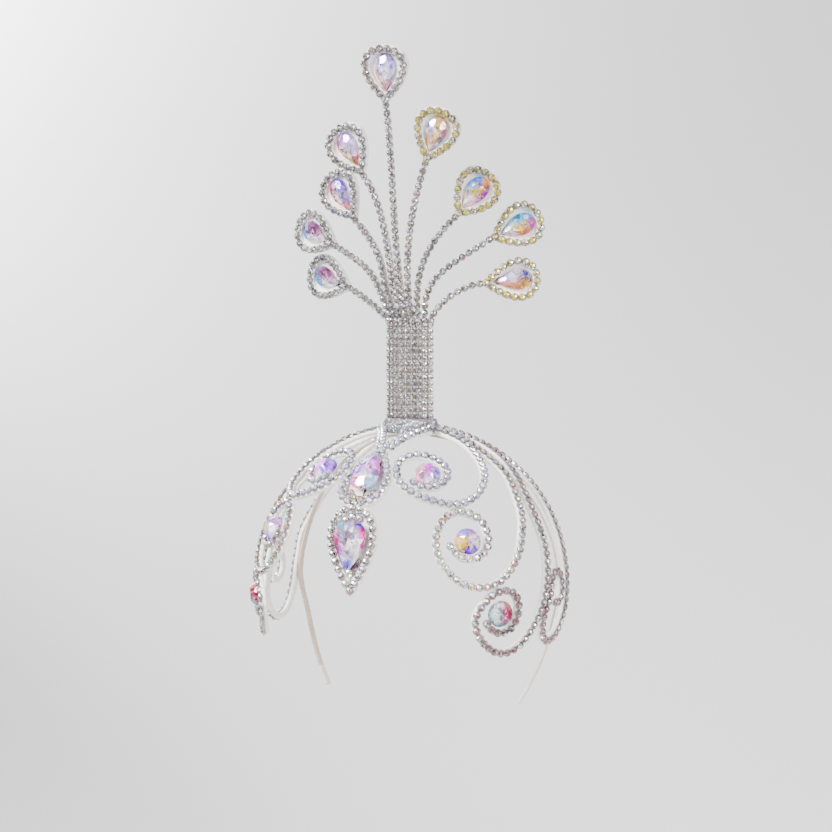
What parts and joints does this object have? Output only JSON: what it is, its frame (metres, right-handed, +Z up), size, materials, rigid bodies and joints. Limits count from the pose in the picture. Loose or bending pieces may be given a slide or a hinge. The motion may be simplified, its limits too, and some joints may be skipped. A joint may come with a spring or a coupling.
{
  "type": "rhinestone headpiece",
  "caption": "Showgirl headpiece: a cap of crystal-covered wire scrolls, a teardrop forehead drop and a tall fan of teardrop finials on a stem.",
  "frame": {"origin": "where the crown of the wearer's head carries the underside of the foot, on the wearer's centre line", "axes": "+Z up, -Y where the wearer faces, +X the wearer's left"},
  "size_m": [0.1886, 0.1204, 0.3896],
  "materials": {
    "wrapped_tape": "white satin tape wound round wire, with a row of clear rhinestone cup chain along its outer face",
    "crystal_chain": "close rows of clear rhinestone cup chain in silver cups",
    "cut_crystal": "large cut stones with an iridescent coating",
    "glitter_cloth": "grey glitter cloth wrapped round the foot",
    "band_tape": "beige tape on a flat band with white wound ends"
  },
  "bodies": {
    "root": {"stem_foot": "glitter_cloth", "stem": "crystal_chain", "front_frame": "wrapped_tape", "brow_stone": "cut_crystal", "forehead_stone": "cut_crystal", "headband": "band_tape", "spray_centre": "wrapped_tape", "spray_left_1": "wrapped_tape", "spray_left_2": "wrapped_tape", "spray_left_3": "wrapped_tape", "spray_left_4": "wrapped_tape", "spray_right_1": "wrapped_tape", "spray_right_2": "wrapped_tape", "spray_right_3": "wrapped_tape", "spray_right_4": "wrapped_tape", "pear_stone_centre": "cut_crystal", "pear_stone_left_1": "cut_crystal", "pear_stone_left_2": "cut_crystal", "pear_stone_left_3": "cut_crystal", "pear_stone_left_4": "cut_crystal", "pear_stone_right_1": "cut_crystal", "pear_stone_right_2": "cut_crystal", "pear_stone_right_3": "cut_crystal", "pear_stone_right_4": "cut_crystal", "scroll_1_left": "wrapped_tape", "scroll_2_left": "wrapped_tape", "scroll_3_left": "wrapped_tape", "scroll_4_left": "wrapped_tape", "scroll_1_right": "wrapped_tape", "scroll_2_right": "wrapped_tape", "scroll_3_right": "wrapped_tape", "scroll_4_right": "wrapped_tape", "scroll_1_stone_left": "cut_crystal", "scroll_2_stone_left": "cut_crystal", "scroll_3_stone_left": "cut_crystal", "scroll_1_stone_right": "cut_crystal", "scroll_2_stone_right": "cut_crystal", "scroll_3_stone_right": "cut_crystal"}
  },
  "joints": []
}
